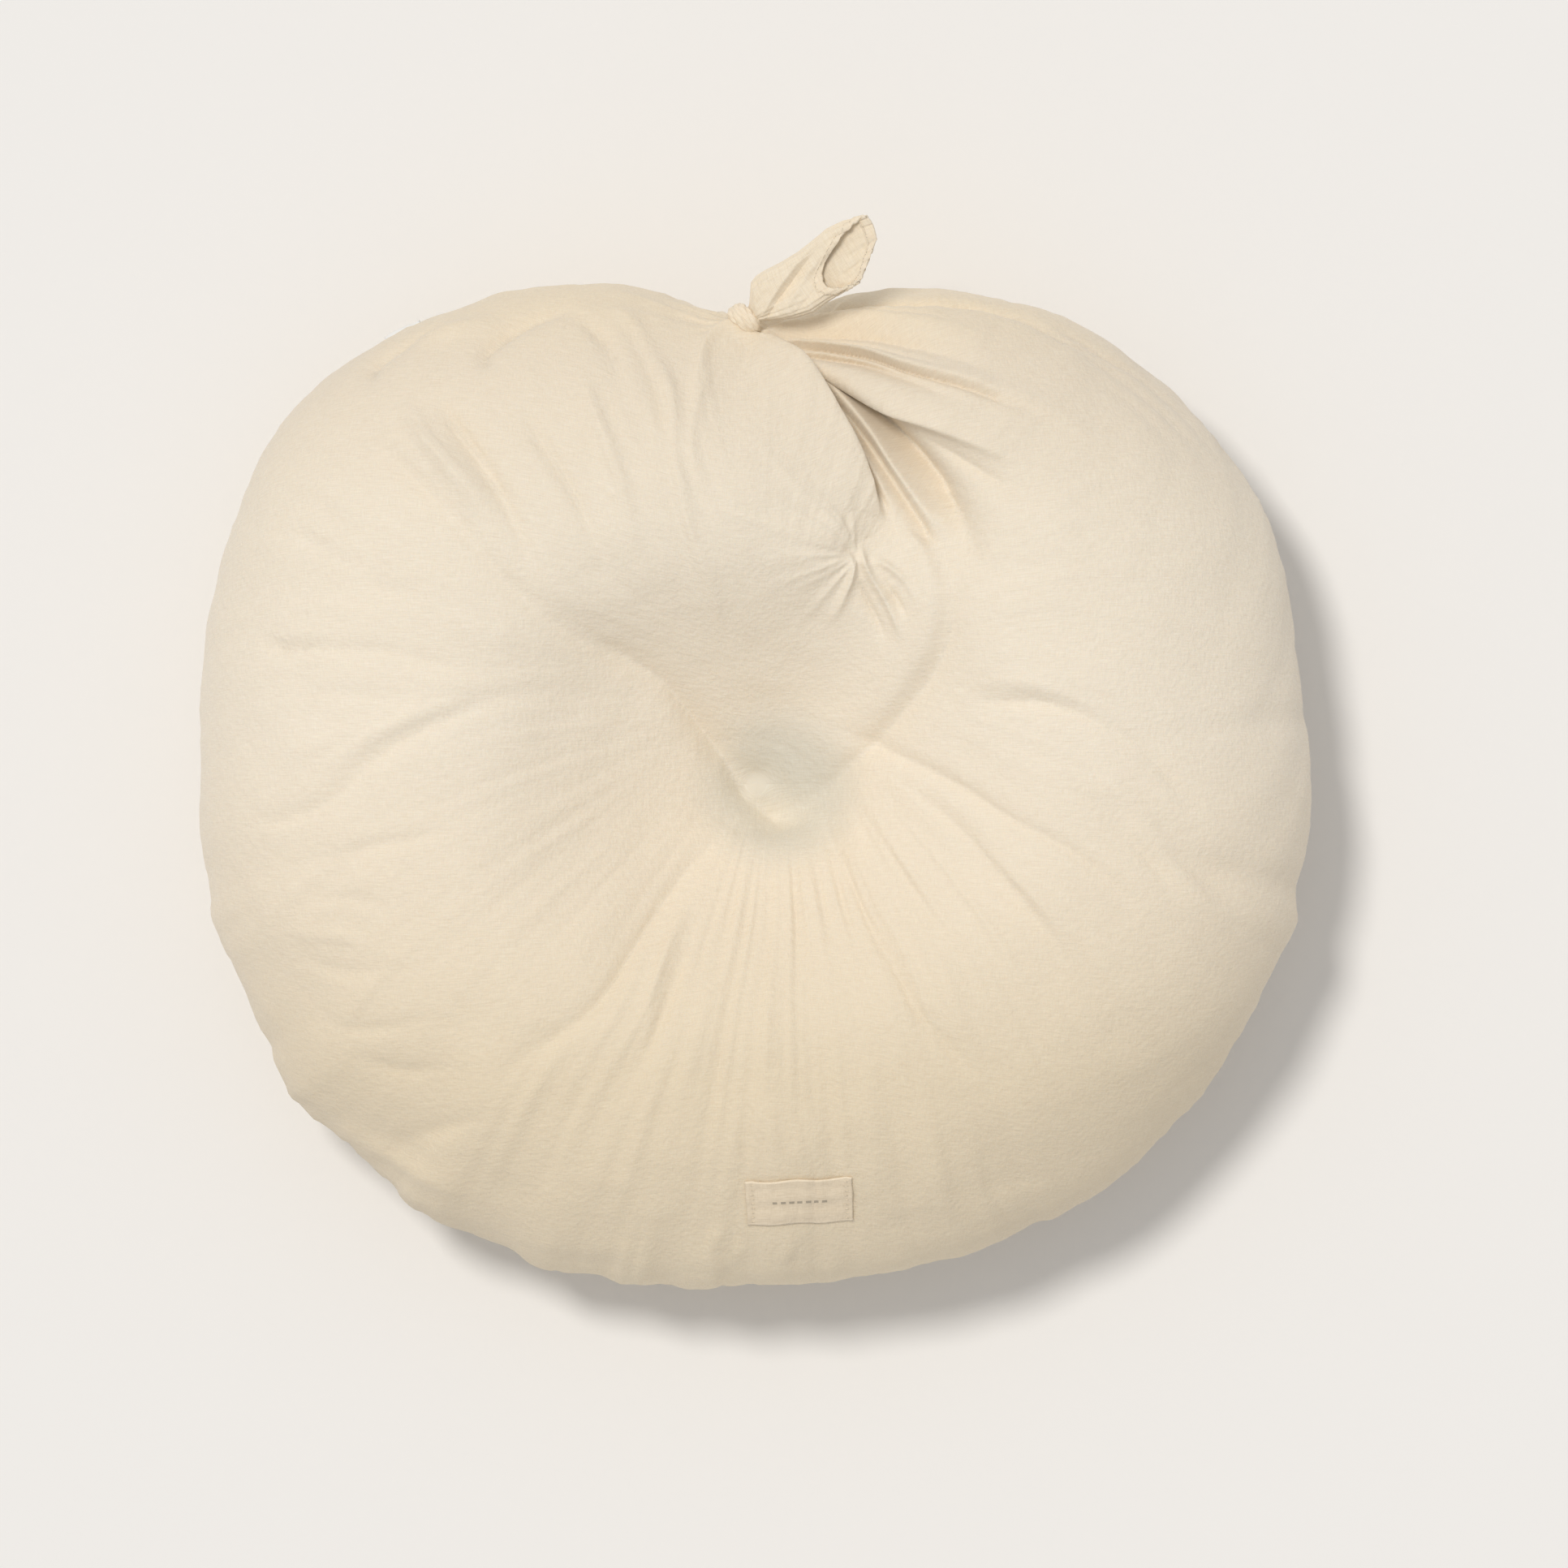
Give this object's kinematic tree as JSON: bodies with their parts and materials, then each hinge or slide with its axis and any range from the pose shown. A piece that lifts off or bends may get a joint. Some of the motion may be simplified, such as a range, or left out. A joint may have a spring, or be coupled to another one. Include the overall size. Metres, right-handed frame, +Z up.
{
  "type": "floor cushion",
  "caption": "Round bead-filled floor cushion in a knotted cotton sack, with a hollow in its top, a sewn front label and a loose neck end that flops.",
  "frame": {"origin": "centre of the flat face that the cushion rests on", "axes": "+Z up, +Y to the knot at the back, -Y to the sewn label at the front, +X to the right"},
  "size_m": [0.7607, 0.7356, 0.2701],
  "materials": {
    "cotton_cover": "soft plain weave, crinkled",
    "neck_cotton": "soft plain weave, tightly gathered",
    "label_cotton": "heavier cotton tape, printed with plain dashes",
    "sewing_thread": "cotton thread",
    "care_tape": "smooth woven tape",
    "liner_cloth": "dense lining",
    "bead_filling": "loose expanded beads",
    "zip_tape": "woven tape",
    "zip_nylon": "satin",
    "slider_metal": "satin"
  },
  "bodies": {
    "cushion": {"cover_top_panel": "cotton_cover", "cover_base_panel": "cotton_cover", "cover_seam_allowance": "cotton_cover", "cover_seam_thread": "sewing_thread", "label_patch": "label_cotton", "label_stitches": "sewing_thread", "care_label": "care_tape", "gather_stay_tape": "label_cotton", "liner_top_panel": "liner_cloth", "liner_base_panel": "liner_cloth", "bead_fill": "bead_filling", "zip_tape_front": "zip_tape", "zip_tape_rear": "zip_tape", "zip_teeth_front": "zip_nylon", "zip_teeth_rear": "zip_nylon", "zip_stop_left": "zip_nylon", "zip_stop_right": "zip_nylon", "knot_collar": "neck_cotton", "neck_gather": "neck_cotton", "tail_throat": "neck_cotton"},
    "loose_end": {"tail_sleeve": "cotton_cover", "tail_hem": "cotton_cover", "hem_stitches": "sewing_thread"},
    "slider": {"zip_slider": "slider_metal"}
  },
  "joints": [
    {"name": "loose_end_flop", "type": "hinge", "parent": "cushion", "child": "loose_end", "pos_m": [0.01113, 0.32695, 0.20221], "axis": [0.5299, -0.848, 0], "range_deg": [-50, 100]},
    {"name": "zip_slide", "type": "slide", "parent": "cushion", "child": "slider", "axis": [1, 0, 0], "range_m": [0, 0.3024]}
  ]
}
